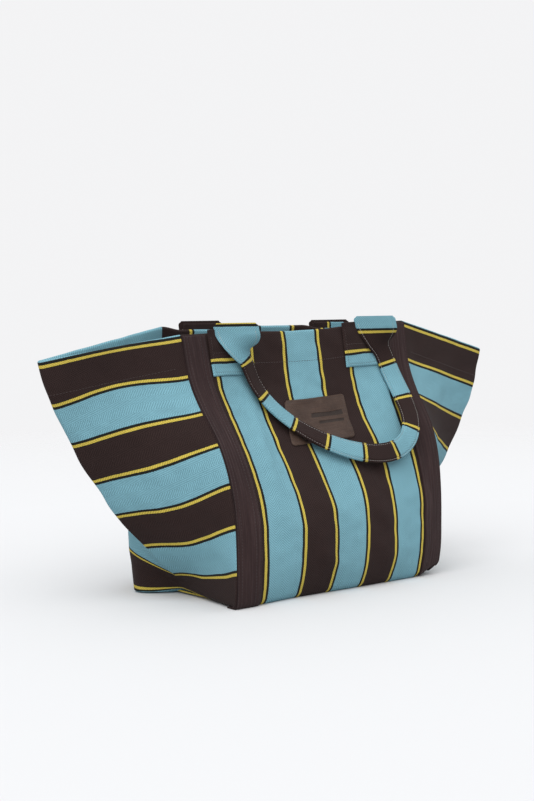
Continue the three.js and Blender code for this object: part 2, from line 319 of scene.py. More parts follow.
class Graph:
    """A material and short ways to add nodes to it."""

    def __init__(self, name):
        self.material = bpy.data.materials.new(name)
        self.material.use_nodes = True
        self.tree = self.material.node_tree
        self.bsdf = self.tree.nodes["Principled BSDF"]

    def node(self, kind, inputs=(), **props):
        n = self.tree.nodes.new(kind)
        for key, value in props.items():
            setattr(n, key, value)
        for key, value in dict(inputs).items():
            self.set(n.inputs[key], value)
        return n

    def set(self, socket, value):
        if isinstance(value, bpy.types.NodeSocket):
            self.tree.links.new(value, socket)
        else:
            socket.default_value = value

    def math(self, operation, *values):
        return self.node("ShaderNodeMath", dict(enumerate(values)), operation=operation).outputs[0]

    def ramp(self, factor, stops, interpolation="LINEAR"):
        n = self.node("ShaderNodeValToRGB", {0: factor})
        n.color_ramp.interpolation = interpolation
        el = n.color_ramp.elements
        while len(el) < len(stops):
            el.new(0.5)
        for e, (pos, colour) in zip(el, stops):
            e.position, e.color = pos, (*colour, 1)
        return n.outputs[0]

    def remap(self, value, a, b, c, d):
        return self.node("ShaderNodeMapRange", {0: value, 1: a, 2: b, 3: c, 4: d}).outputs[0]

    def noise(self, vector, scale, detail=2.0, rough=0.5):
        return self.node("ShaderNodeTexNoise", {"Vector": vector, "Scale": scale, "Detail": detail,
                                                "Roughness": rough}).outputs[0]

    def stretched(self, across, along, across_scale, along_scale):
        """A place on the cloth, scaled differently across and along the stripes."""
        x = self.math("MULTIPLY", across, across_scale)
        y = self.math("MULTIPLY", along, along_scale)
        return self.node("ShaderNodeCombineXYZ", {0: x, 1: y}).outputs[0]

    def times(self, colour, factor):
        """Colour times a grey factor."""
        return self.node("ShaderNodeVectorMath", {0: colour, 3: factor}, operation="SCALE").outputs[0]

    def uv(self):
        out = self.node("ShaderNodeUVMap", uv_map="Cloth").outputs[0]
        parts = self.node("ShaderNodeSeparateXYZ", {0: out})
        return out, parts.outputs[0], parts.outputs[1]

    def finish(self, colour, height=None, depth=0.0003, **values):
        self.set(self.bsdf.inputs["Base Color"], colour)
        for key, value in values.items():
            self.set(self.bsdf.inputs[key.replace("_", " ")], value)
        if height is not None:
            bump = self.node("ShaderNodeBump", {"Height": height, "Distance": depth, "Strength": 1.0})
            self.set(self.bsdf.inputs["Normal"], bump.outputs[0])
        return self.material


TURQUOISE = (0.204, 0.418, 0.495)
BROWN = (0.030, 0.0165, 0.0150)
BLACK = (0.012, 0.012, 0.010)
YELLOW = (0.64, 0.495, 0.085)
STRIPE = 49  # width of one stripe with its edge lines


def striped_cloth(name, shade=1.0):
    """Heavy yarn-dyed herringbone twill. The first UV runs across the stripes, the second along."""
    g = Graph(name)
    vector, across, along = g.uv()
    place = g.node("ShaderNodeTexCoord").outputs["Object"]
    fuzz = g.noise(vector, 900, 2)
    wander = g.remap(fuzz, 0.25, 0.75, -0.00028, 0.00028)
    band = g.math("PINGPONG", g.math("ADD", across, wander), STRIPE * MM)
    share = g.math("DIVIDE", band, STRIPE * MM)
    k = 1 / STRIPE
    colour = g.ramp(share, [
        (0.0, TURQUOISE), (21.4 * k, TURQUOISE), (21.7 * k, BLACK), (24.6 * k, BLACK),
        (24.85 * k, YELLOW), (28.0 * k, YELLOW), (28.3 * k, BLACK), (28.9 * k, BLACK),
        (29.2 * k, BROWN), (1.0, BROWN)])
    # herringbone: the slant of the twill turns every few millimetres
    slant = g.math("PINGPONG", across, 0.0085)
    phase = g.math("MULTIPLY", g.math("ADD", slant, along), 2 * math.pi / 0.0030)
    wobble = g.math("MULTIPLY", fuzz, 2.2)
    twill = g.math("SINE", g.math("ADD", phase, wobble))
    threads = g.math("SINE", g.math("MULTIPLY", along, 2 * math.pi / 0.0009))
    weave = g.math("MULTIPLY_ADD", threads, 0.35, twill)
    relief = g.remap(weave, -1.35, 1.35, 0.0, 1.0)
    # slow changes: slubs along the threads, handling wear and dye unevenness
    slub = g.noise(g.stretched(across, along, 900, 55), 1.0, 2, 0.6)
    cloud = g.noise(place, 9, 3, 0.55)
    fine = g.noise(place, 60, 2, 0.5)
    tone = g.remap(relief, 0.0, 1.0, 0.66 * shade, 1.17 * shade)
    tone = g.math("MULTIPLY", tone, g.remap(slub, 0.2, 0.8, 0.93, 1.07))
    tone = g.math("MULTIPLY", tone, g.remap(cloud, 0.3, 0.7, 0.94, 1.06))
    tone = g.math("MULTIPLY", tone, g.remap(fine, 0.2, 0.8, 0.965, 1.035))
    colour = g.times(colour, tone)
    height = g.math("MULTIPLY_ADD", slub, 0.5, relief)
    return g.finish(colour, height, 0.00032, Roughness=g.remap(relief, 0, 1, 0.95, 0.8),
                    Sheen_Weight=0.03, Sheen_Roughness=0.5, Sheen_Tint=(0.95, 0.93, 0.92, 1),
                    Specular_IOR_Level=0.18)


def binding_cloth(name):
    """Ribbed tape: lengthwise cords with a fine cross weft."""
    g = Graph(name)
    _, across, along = g.uv()
    place = g.node("ShaderNodeTexCoord").outputs["Object"]
    cords = g.math("SINE", g.math("MULTIPLY", across, 2 * math.pi / 0.0016))
    weft = g.math("SINE", g.math("MULTIPLY", along, 2 * math.pi / 0.0013))
    relief = g.remap(g.math("MULTIPLY_ADD", weft, 0.6, cords), -1.6, 1.6, 0, 1)
    streak = g.noise(g.stretched(across, along, 420, 16), 1.0, 3, 0.6)
    cloud = g.noise(place, 14, 3, 0.55)
    colour = g.ramp(streak, [(0.25, (0.024, 0.0110, 0.0112)), (0.55, (0.037, 0.0190, 0.0190)),
                             (0.8, (0.066, 0.039, 0.038))])
    tone = g.math("MULTIPLY", g.remap(relief, 0, 1, 0.72, 1.18), g.remap(cloud, 0.3, 0.7, 0.88, 1.12))
    colour = g.times(colour, tone)
    return g.finish(colour, relief, 0.00035, Roughness=g.remap(relief, 0, 1, 0.9, 0.7), Sheen_Weight=0.05,
                    Sheen_Roughness=0.5, Sheen_Tint=(0.9, 0.85, 0.85, 1), Specular_IOR_Level=0.22)


def thread(name, colour):
    """Twisted sewing thread."""
    g = Graph(name)
    place = g.node("ShaderNodeTexCoord").outputs["Object"]
    twist = g.noise(place, 1500, 2, 0.6)
    dark, light = tuple(c * 0.72 for c in colour), tuple(min(c * 1.15, 1) for c in colour)
    return g.finish(g.ramp(twist, [(0.3, dark), (0.7, light)]), twist, 0.00012,
                    Roughness=g.remap(twist, 0.3, 0.7, 0.75, 0.5), Sheen_Weight=0.1)


LABEL_WIDE, LABEL_HIGH = 98.0, 65.0
BARS = ((40, 90, 34.5, 41.5), (50, 90, 24.5, 28.5))  # the pressed bars: left, right, low, high


def label_leather(name):
    """Vegetable-tanned leather patch; two plain bars are pressed into it."""
    g = Graph(name)
    vector, across, along = g.uv()
    place = g.node("ShaderNodeTexCoord").outputs["Object"]
    voronoi = g.node("ShaderNodeTexVoronoi", {"Vector": place, "Scale": 900.0}, feature="DISTANCE_TO_EDGE")
    pores = voronoi.outputs[0]
    grain = g.remap(pores, 0.0, 0.25, 0.0, 1.0)
    cloud = g.noise(place, 45, 4, 0.6)
    brushed_at = g.node("ShaderNodeMapping", {"Vector": vector, "Scale": (60, 420, 1)}).outputs[0]
    brushed = g.noise(brushed_at, 1.0, 3, 0.6)
    mixed = g.math("ADD", g.math("MULTIPLY", cloud, 0.6), g.math("MULTIPLY", brushed, 0.4))
    colour = g.ramp(mixed, [(0.3, (0.046, 0.024, 0.016)), (0.5, (0.068, 0.037, 0.025)),
                            (0.72, (0.098, 0.056, 0.038))])

    def within(value, low, high, blur=0.0004):
        above = g.remap(value, low - blur, low + blur, 0, 1)
        below = g.remap(value, high - blur, high + blur, 1, 0)
        return g.math("MULTIPLY", above, below)

    def bar(left, right, low, high):
        inside_x = within(across, left * MM, right * MM)
        return g.math("MULTIPLY", inside_x, within(along, low * MM, high * MM))

    pressed = g.math("MAXIMUM", bar(*BARS[0]), bar(*BARS[1]))
    tone = g.math("MULTIPLY", g.remap(pressed, 0, 1, 1.0, 0.42), g.remap(grain, 0, 1, 0.8, 1.06))
    colour = g.times(colour, tone)
    height = g.math("SUBTRACT", g.math("MULTIPLY_ADD", cloud, 0.6, grain), g.math("MULTIPLY", pressed, 2.0))
    return g.finish(colour, height, 0.00018, Roughness=g.remap(mixed, 0.3, 0.7, 0.62, 0.44),
                    Specular_IOR_Level=0.4)


CLOTH = striped_cloth("striped_cloth")
STRAP = striped_cloth("strap_cloth", 0.97)
BASE = striped_cloth("base_cloth", 0.9)
TAPE = binding_cloth("ribbed_binding")
THREAD_PALE = thread("pale_thread", (0.50, 0.47, 0.44))
THREAD_DARK = thread("dark_thread", (0.055, 0.038, 0.036))
LEATHER = label_leather("label_leather")


def settle(ob, body, nodes=(), flat=True):
    """ob moves with a body and hides the parts it replaces; with flat, it also gets its own copy of its mesh.
    """
    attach(ob, body)
    if nodes:
        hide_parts(*nodes)
    if flat:
        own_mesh(ob)
    return ob


# name, axes turned round, body, and the look, which picks the small folds
BOTH = [("front", (), "front_side", 0), ("back", (1,), "back_side", 5)]

# ---- stitches ----------------------------------------------------------------------------------------


def stitches(path, normal, pitch=4.0, length=3.0, width=0.62, lift=0.12):
    """Short stitches along a line of points: vertices and faces in millimetres."""
    path, normal = np.asarray(path, float), np.asarray(normal, float)
    at = np.r_[0, np.cumsum(np.linalg.norm(np.diff(path, axis=0), axis=1))]
    n = max(int((at[-1] - 0.5) / pitch), 1)
    mid = (np.arange(n) + 0.5) * at[-1] / n

    def pick(d, arr):
        return np.stack([np.interp(d, at, arr[:, i]) for i in range(3)], 1)

    a, b, up = pick(mid - length / 2, path), pick(mid + length / 2, path), pick(mid, normal)
    along = b - a
    along /= np.linalg.norm(along, axis=1, keepdims=True)
    side = np.cross(up, along)
    side /= np.linalg.norm(side, axis=1, keepdims=True)
    up = np.cross(along, side)
    # rings along one stitch: place, width and height as shares
    ts = [-0.5, -0.4, 0.0, 0.4, 0.5]
    ws = [0.25, 0.85, 1, 0.85, 0.25]
    hs = [-0.5, 0.05, 0.3, 0.05, -0.5]
    rings = []
    sides = 6
    for t, w, h in zip(ts, ws, hs):
        for k in range(sides):
            ang = 2 * math.pi * k / sides
            height = w * width / 2 * math.sin(ang) * 0.9 + lift + h * width * 0.5
            rings.append((t * length, w * width / 2 * math.cos(ang), height))
    local = np.array(rings)
    centre = (a + b) / 2
    v = (centre[:, None] + along[:, None] * local[None, :, :1] + side[:, None] * local[None, :, 1:2]
         + up[:, None] * local[None, :, 2:3])
    one = []
    for r in range(len(ts) - 1):
        for k in range(sides):
            k2 = (k + 1) % sides
            one.append([r * sides + k, r * sides + k2, (r + 1) * sides + k2, (r + 1) * sides + k])
    last = (len(ts) - 1) * sides
    one += [[3, 2, 1, 0], [5, 4, 3, 0]]
    one += [[last, last + 1, last + 2, last + 3], [last, last + 3, last + 4, last + 5]]
    one = np.array(one)
    per = len(local)
    faces = (one[None] + per * np.arange(n)[:, None, None]).reshape(-1, 4)
    return v.reshape(-1, 3), faces


def join(parts):
    """Several (vertices, faces) as one."""
    verts, faces, base = [], [], 0
    for v, f in parts:
        verts.append(v)
        faces.append(f + base)
        base += len(v)
    return np.vstack(verts), np.vstack(faces)


# ---- the two striped sides, turned over the rim into a hem -----------------------------------------
HALF = 0.95  # half the cloth's thickness
FOLD = 1.65  # radius of the fold at the rim
HEM = 39       # depth of the hem
HEM_SEAM = 37  # the hem is stitched this far below the rim
UNDER = 11     # cloth turned under the bag


def hemmed_rows(step):
    """Rows of a cloth that runs up to the rim, over it and down inside: (s, part, angle)."""
    up = [(s, 0, 0.0) for s in np.r_[-UNDER, -7, -3.5, 0, 1.5, 3, 5, 7.5, np.arange(11, RIM - 2, step), RIM]]
    over = [(RIM, 1, a) for a in np.linspace(0, math.pi, 8)[1:-1]]
    down = [(RIM - q, 2, math.pi) for q in np.r_[0, 1.5, np.arange(4, HEM, 4.5), HEM]]
    return up + over + down


def hemmed(frame_at, rows, columns, s_uv, x_uv, turn_under):
    """Centre grid, normals and UVs of a hemmed cloth.

    frame_at gives (point, normal, up) of its outer face."""
    centre, normal, uv = [], [], []
    d = 0.0
    for s, part, angle in rows:
        p, n, up = frame_at(max(s, 0.0), columns)
        mid = p - n * HALF
        if part == 0:
            c, m = mid, n
            if s < 0:  # turned under the bag
                c = turn_under(mid, -s / UNDER)
                m = np.tile([0, 0, -1.0], (len(c), 1))
            d = s
        elif part == 1:
            c = mid - n * FOLD + FOLD * (math.cos(angle) * n + math.sin(angle) * up)
            m = math.cos(angle) * n + math.sin(angle) * up
            d = RIM + FOLD * angle
        else:
            c, m = mid - 2 * FOLD * n, -n
            d = RIM + FOLD * math.pi + (RIM - s)
        centre.append(c)
        normal.append(m)
        uv.append(np.stack([x_uv(columns, s, d), s_uv(columns, s, d)], -1))
    return np.array(centre), np.array(normal), np.array(uv)


ROW_STEP = 3.4  # between rows up the cloth
side_columns = np.sin(np.linspace(-1, 1, 121) * 1.35) / math.sin(1.35)  # closer together at the edges


def side_piece(prefix, mirror, body, look):
    """One striped side with its hem."""
    def frame_at(s, cols):
        x = cols * (half_width(s) - 1.2)
        return side_frame(x, np.full(len(cols), s), look)

    def x_uv(cols, s, d):
        return cols * (half_width(s) - 1.2) * FOOT_HALF / half_width(s) - 1

    def turn_under(mid, share):
        inward = 0 * mid[:, 0] + UNDER * share
        upward = HALF + 0.2 - mid[:, 2] + 0.85 * (mid[:, 2] - mid[:, 2].min())
        return mid + np.stack([0 * mid[:, 0], inward, upward], -1)

    def s_uv(cols, s, d):
        return np.full(len(cols), d)

    centre, normal, uv = hemmed(frame_at, hemmed_rows(ROW_STEP), side_columns, s_uv, x_uv, turn_under)
    v, f, t = shell_from(centre, normal, HALF, uv)
    ob = add_mesh(prefix + "_cloth", v, f, CLOTH, t, mirror)
    settle(ob, body, [prefix + "_panel", prefix + "_hem"])
    # hem stitches seen outside
    x = np.linspace(-1, 1, 200) * (half_width(RIM - HEM_SEAM) - 34)
    p, n, _ = side_frame(x, np.full(len(x), RIM - HEM_SEAM), look)
    v, f = stitches(p, n, 3.9, 2.9, 0.55, -0.05)
    ob = add_mesh(prefix + "_hem_stitches", v, f, THREAD_DARK, None, mirror)
    settle(ob, body)


# ---- gussets -----------------------------------------------------------------------------------------
# the left gusset's crease at these distances up the cloth
CREASE_AT = [0, 42, 68, 95, 140, 193, 238, 291, RIM]
crease_x = softened(smooth_curve(CREASE_AT, [-160, -167, -191, -219, -254, -286, -312, -337, -353]),
                    CREASE_SOFT)
crease_y = softened(smooth_curve(CREASE_AT, [8, 3, 0, 0, 0, 0, 0, 0, 0]), CREASE_SOFT)
crease_z = softened(smooth_curve(CREASE_AT, [6, 20, 40, 66, 104, 147, 189, 236, 284]), CREASE_SOFT)
# how far the stripes bow up or down between a gusset's seam and its crease
gusset_bow = smooth_curve([0, 60, 100, 140, 190, 240, 291, 330, RIM], [0, 5, 8, 9, 4, -3, -8, -4, -2])
LEAF, ARC = 40, 9  # points on a leaf of the gusset and round its crease
leaf_t = np.linspace(0, 1, LEAF)
gusset_columns = np.arange(2 * (LEAF + ARC) - 3)


def gusset_section(s, look):
    """One line across the left gusset at distance s up the cloth, front seam to back seam: points (mm)."""
    s = float(s)
    d, zs, xs = float(seam_depth(s)), float(seam_height(s)), -float(half_width(s))
    xt, zt = float(crease_x(s)), float(crease_z(s))
    r = 3.0 + 2.6 * float(rise(s, 120, RIM))
    a = np.array([xt - xs, 0, zt - zs])
    reach = np.linalg.norm(a)
    a /= reach
    phi = math.atan2(reach - r, d)
    alpha = phi + math.asin(min(r / math.hypot(reach - r, d), 1))
    touch = np.array([reach - r + r * math.cos(alpha), -r * math.sin(alpha)])
    start = np.array([0.0, -d])
    leaf = start + leaf_t[:, None] * (touch - start)
    arc = [(reach - r + r * math.cos(t), -r * math.sin(t)) for t in np.linspace(alpha, 0, ARC)[1:]]
    flat = np.vstack([leaf, arc])
    length = np.r_[0, np.cumsum(np.linalg.norm(np.diff(flat, axis=0), axis=1))]
    base = np.array([xs, 0, zs])
    front = base + flat[:, :1] * a + flat[:, 1:] * np.array([0, 1.0, 0])
    back = front[-2::-1] * np.array([1, -1, 1.0])
    p = np.vstack([front, back])
    u = np.r_[length / length[-1], 2 - length[-2::-1] / length[-1]]  # 0 front seam, 1 crease, 2 back seam
    dist = np.r_[length - length[-1], length[-1] - length[-2::-1]]
    # leaf normals in the section, outward from the bag
    n = np.cross(np.gradient(p, axis=0), np.cross(a, [0, 1.0, 0]))
    n /= np.linalg.norm(n, axis=1, keepdims=True)
    n = np.where(n[:, :1] > 0, -n, n)
    p[:, 1] += float(crease_y(s)) * hump(u, 1, 1)
    hand = -1 if look % 2 == 0 else 1
    for share, sx, seam_look in ((np.clip(1 - u, 0, 1), -1, 0), (np.clip(u - 1, 0, 1), 1, 5)):
        deep, high = lean(hand * -xs, s, seam_look)
        p[:, 1] += sx * share * float(deep)
        p[:, 2] += share * float(high)
        if seam_look == 0:
            p[:, :2] -= np.array(FOOT_WAY) * (share * float(near_foot(hand * -xs, s)))[:, None]
    sag = hump(u, 0.5, 0.5) + hump(u, 1.5, 0.5)
    away = rise(u, 0, 0.15) * (1 - rise(u, 1.85, 2))
    off = -2.2 * sag * hump(s, 170, 190) + 1.0 * sag * (hump(s, 250, 60) - 1.3 * hump(s, 305, 50))
    folds = 1.1 * ripple(dist, s, 71 + look, 120, 45) + 0.4 * ripple(dist, s, 83 + look, 40, 20)
    off = off + away * float(rise(s, 2, 40)) * folds
    p = p + n * off[:, None]
    if look % 2 == 0:  # the back half of the left gusset bulges out low down
        out = hump(u, 1.5, 0.50) * (1 - float(rise(s, 45, 125)))
        p[:, 0] -= 33 * out
        p[:, 2] += 12 * hump(u, 1.5, 0.5) * float(hump(s, 56, 54)) - 7 * out * (1 - float(rise(s, 0, 30)))
    tuck = float(np.clip(1 - s / 8, 0, 1)) ** 2
    p[:, 0] += 4.0 * tuck
    p[:, 2] = np.maximum(p[:, 2], 1.9)
    return p, dist


def gusset_piece(prefix, mirror, look):
    """One winged gusset with its hem."""
    rows = hemmed_rows(ROW_STEP)
    ss = sorted({max(s, 0.0) for s, _, _ in rows})
    grid, dist = {}, {}
    for s in ss:
        grid[s], dist[s] = gusset_section(s, look)
    stack = np.array([grid[s] for s in ss])
    normals = grid_normals(stack)
    up = np.gradient(stack, axis=0)
    up /= np.linalg.norm(up, axis=-1, keepdims=True)
    if normals[len(ss) // 2, 10, 0] > 0:
        normals = -normals
    index = {s: i for i, s in enumerate(ss)}

    def frame_at(s, cols):
        i = index[s]
        return stack[i], normals[i], up[i]

    def x_uv(cols, s, d):
        i = index[max(s, 0.0)]
        u = dist[ss[i]] / np.abs(dist[ss[i]]).max()
        low = -1 + 12 * rise(u, -0.6, 0) + 5 * hump(u, 0.6, 0.6)
        bow = float(gusset_bow(max(s, 0.0))) * hump(np.abs(u), 0.5, 0.5) * (1 if look % 2 == 0 else 0.1)
        return max(d, 0.0) - 68.5 + bow - low * (1 - float(rise(s, 25, 110)))

    def s_uv(cols, s, d):
        return dist[ss[index[max(s, 0.0)]]]

    def turn_under(mid, share):
        inside = mid * np.array([1, 0.97, 1.0])
        inside[:, 0] = -150
        inside[:, 2] = HALF + 0.3 + 0.5 * (mid[:, 2] - mid[:, 2].min())
        low = mid.copy()
        low[:, 2] = np.maximum(low[:, 2] - 0.6, HALF + 0.2)
        return low + (inside - low) * share

    centre, normal, uv = hemmed(frame_at, rows, gusset_columns, s_uv, x_uv, turn_under)
    v, f, t = shell_from(centre, normal, HALF, uv)
    ob = add_mesh(prefix + "_gusset_cloth", v, f, CLOTH, t, mirror)
    settle(ob, "shell", [prefix + "_gusset", prefix + "_hem"])
    i = int(np.argmin(np.abs(np.array(ss) - (RIM - HEM_SEAM))))
    v, f = stitches(stack[i][3:-3], normals[i][3:-3], 3.9, 2.9, 0.55, -0.05)
    ob = add_mesh(prefix + "_gusset_stitches", v, f, THREAD_DARK, None, mirror)
    settle(ob, "shell")


# ---- base ---------------------------------------------------------------------------------------------


def base_piece():
    """The cloth on the floor; its front right corner lifts a little."""
    x, y = np.linspace(-158.5, 158.5, 90), np.linspace(-99, 99, 60)
    gy, gx = np.meshgrid(y, x, indexing="ij")
    z = 3.2 + 0.25 * ripple(gx, gy, 5, 90, 30) + 12 * rise(gx, 112, 160) * rise(-gy, 55, 99)
    centre = np.stack([gx, gy, z], -1)
    normal = np.zeros_like(centre)
    normal[..., 2] = -1
    uv = np.stack([-(gx + 163) - 68.5, gy], -1)
    v, f, t = shell_from(centre, normal, 0.9, uv)
    ob = add_mesh("base_cloth", v, f, BASE, t)
    settle(ob, "shell", ["base_panel"])


# ---- ribbed bindings ------------------------------------------------------------------------------------


TAPE_FROM, TAPE_TO = -5.5, 33  # from a little way round on the gusset to its edge on the side
TAPE_SEAMS = (2.6, 7.0, 25.6, 30.8)


def binding_piece(prefix, hand, mirror, body, look):
    """Tape over a corner seam, from the gusset over the edge on to the side."""
    rows = np.r_[0.5, 2, 4, 7, np.arange(11, RIM - 2, 4), RIM - 0.6]
    w = np.linspace(TAPE_FROM, TAPE_TO, 78)
    centre, normal, uv = [], [], []
    sign = -1 if hand == "left" else 1
    for s in rows:
        hw = float(half_width(s))
        x = sign * (hw - 0.4 - np.maximum(w, 0))
        p, n, _ = side_frame(x, np.full(len(w), s), look)
        xt, zt = float(crease_x(s)), float(crease_z(s))
        to = np.array([-sign * xt, 0, zt]) - p[0]
        to /= np.linalg.norm(to)
        upv = np.array([0, 0, 1.0])
        ng = np.cross(to, upv) * -sign
        ng /= np.linalg.norm(ng)
        turn = rise(w, -2.2, 1.2)[:, None]
        mixed = (1 - turn) * ng + turn * n
        mixed /= np.linalg.norm(mixed, axis=1, keepdims=True)
        p = p + to * np.maximum(-w, 0)[:, None]
        rib = 0.42 * np.sqrt(np.abs(np.cos(math.pi * (w - 1.2) / 4.6)))
        edge = np.minimum(np.abs(w - TAPE_FROM), np.abs(TAPE_TO - w))
        rib = rib * rise(edge, 0, 1.2) + 0.3 * hump(w, 0, 3)
        off = 1.15 + rib
        p[:, 2] = np.maximum(p[:, 2], 2.4 * rise(-w, 0.5, 3))
        centre.append(p + mixed * off[:, None])
        normal.append(mixed)
        uv.append(np.stack([w, np.full(len(w), s)], -1))
    centre, normal, uv = np.array(centre), np.array(normal), np.array(uv)
    v, f, t = shell_from(centre, normal, 0.8, uv)
    ob = add_mesh(f"{prefix}_{hand}_tape", v, f, TAPE, t, mirror)
    settle(ob, body, [f"{prefix}_{hand}_binding"])
    parts = []
    for at in TAPE_SEAMS:
        i = int(np.argmin(np.abs(w - at)))
        c, n = centre[2:, i], normal[2:, i]
        parts.append(stitches(c + n * 0.8, n, 3.6, 2.5, 0.5, -0.06))
    v, f = join(parts)
    ob = add_mesh(f"{prefix}_{hand}_tape_stitches", v, f, THREAD_DARK, None, mirror)
    settle(ob, body)


# ---- tabs -----------------------------------------------------------------------------------------------
TAB_X = {"left": -115, "right": 96}  # middle of each tab
TAB_HALF = 26
TAB_LOW, TAB_HIGH, BACK_TAB_HIGH = 289.0, 346.0, 349.0  # distances up the cloth
TAB_STRIPE = 282.5  # shifts the stripes of a tab


def tab_piece(prefix, hand, mirror, body, look):
    """The flat end of a handle where it is sewn on the side."""
    low, high = TAB_LOW, TAB_HIGH if look < 5 else BACK_TAB_HIGH
    cols = np.linspace(-1, 1, 48)
    rows = np.linspace(0, 1, 52)
    gy, gx = np.meshgrid(rows, cols, indexing="ij")
    s = low + (high - low) * gy
    x = TAB_X[hand] + TAB_HALF * gx * (1 - 0.03 * (1 - gy))
    edge = np.minimum(TAB_HALF * (1 - np.abs(gx)), (high - low) * np.minimum(gy, 1 - gy + 0.2))
    puff = 0.5 * rise(edge, 0.3, 2.5) - 0.45 * hump(edge, 3.2, 1.1)
    off = 1.75 + puff + 0.25 * ripple(x, s, 3 + look, 30, 14)
    p, n, _ = side_frame(x, np.minimum(s, RIM), look)
    p[..., 2] += np.maximum(s - RIM, 0)
    centre = p + n * off[..., None]
    uv = np.stack([x - 23, s] if look >= 5 and hand == "right" else [s - TAB_STRIPE, x], -1)
    v, f, t = shell_from(centre, n, 0.95, uv)
    ob = add_mesh(f"{prefix}_{hand}_tab_cloth", v, f, STRAP, t, mirror)
    settle(ob, body, [f"{prefix}_{hand}_tab"])
    parts = []
    top = centre + n * 0.95
    i0, i1, j0, j1 = 3, 44, 3, 44
    for pts, nn in ((top[i0, j0:j1 + 1], n[i0, j0:j1 + 1]), (top[i0:i1 + 1, j0], n[i0:i1 + 1, j0]),
                    (top[i0:i1 + 1, j1], n[i0:i1 + 1, j1]), (top[26, j0:j1 + 1], n[26, j0:j1 + 1])):
        parts.append(stitches(pts, nn, 3.2, 2.3, 0.5, 0.0))
    v, f = join(parts)
    ob = add_mesh(f"{prefix}_{hand}_tab_stitches", v, f, THREAD_DARK, None, mirror)
    settle(ob, body)


# ---- strap handles -----------------------------------------------------------------------------------------
# The sizes here were picked by hand beside the photo; report.md says what was known by then.
STRAP_WIDTH, STRAP_THICK = 25, 4.8
FLAP_WIDTH, FLAP_THICK = 54, 2.5  # the flat sewn ends
FLAP_X = (-112, 111)              # middle of each flap at its crest
CREST = 350                       # distance up the cloth at the crest
FLAP_LONG = 46                    # from the crest to where the strap starts
FOOT_SHIFT = 20                   # the strap leaves each flap this far to the right
LOOP_DROP = 148                   # the loop hangs this far below the feet of the flaps
LOOP_LEAN = 46                    # and its lowest point is pulled this far to the right
FLAP_TURN = 38                    # degrees, the flaps face sideways
STRIPE_START = {"front": -26, "back": 49}  # shifts the stripes along each strap


def handle_line():
    """The strap from flap to flap.

    Gives x, distance up the cloth, stand-off, width, thickness, twist and depth below the crest."""
    deep = np.r_[0, 1, 2.5, 4.5, np.arange(7, FLAP_LONG, 2.5)]
    share = (deep / FLAP_LONG) ** 2
    turn = np.linspace(0, math.pi, 170)[1:-1]
    left, right = FLAP_X[0] + FOOT_SHIFT, FLAP_X[1] + FOOT_SHIFT
    loop_x = (left + right) / 2 - (right - left) / 2 * np.cos(turn) + LOOP_LEAN * np.sin(turn)
    loop_s = CREST - FLAP_LONG - LOOP_DROP * np.sin(turn) ** 0.8
    x = np.r_[FLAP_X[0] + FOOT_SHIFT * share, loop_x, (FLAP_X[1] + FOOT_SHIFT * share)[::-1]]
    s = np.r_[CREST - deep, loop_s, (CREST - deep)[::-1]]
    turn = np.r_[0 * deep, turn, 0 * deep + math.pi]
    for _ in range(3):
        x[1:-1], s[1:-1] = ((v[:-2] + 2 * v[1:-1] + v[2:]) / 4 for v in (x, s))
    deep = CREST - s
    flap = 1 - rise(deep, 12, FLAP_LONG)
    off = 8 + 11 * flap + 9 * hump(turn, 1.9, 1.3)
    width = (STRAP_WIDTH + (FLAP_WIDTH - STRAP_WIDTH) * flap) * (0.86 + 0.14 * rise(deep, 0, 4))
    thick = STRAP_THICK + (FLAP_THICK - STRAP_THICK) * flap
    side = np.where(turn < math.pi / 2, -1, 1)
    twist = side * FLAP_TURN * flap + (1 - flap) * (3 + 14 * np.cos(2 * turn))
    return x, s, off, width, thick, twist, deep


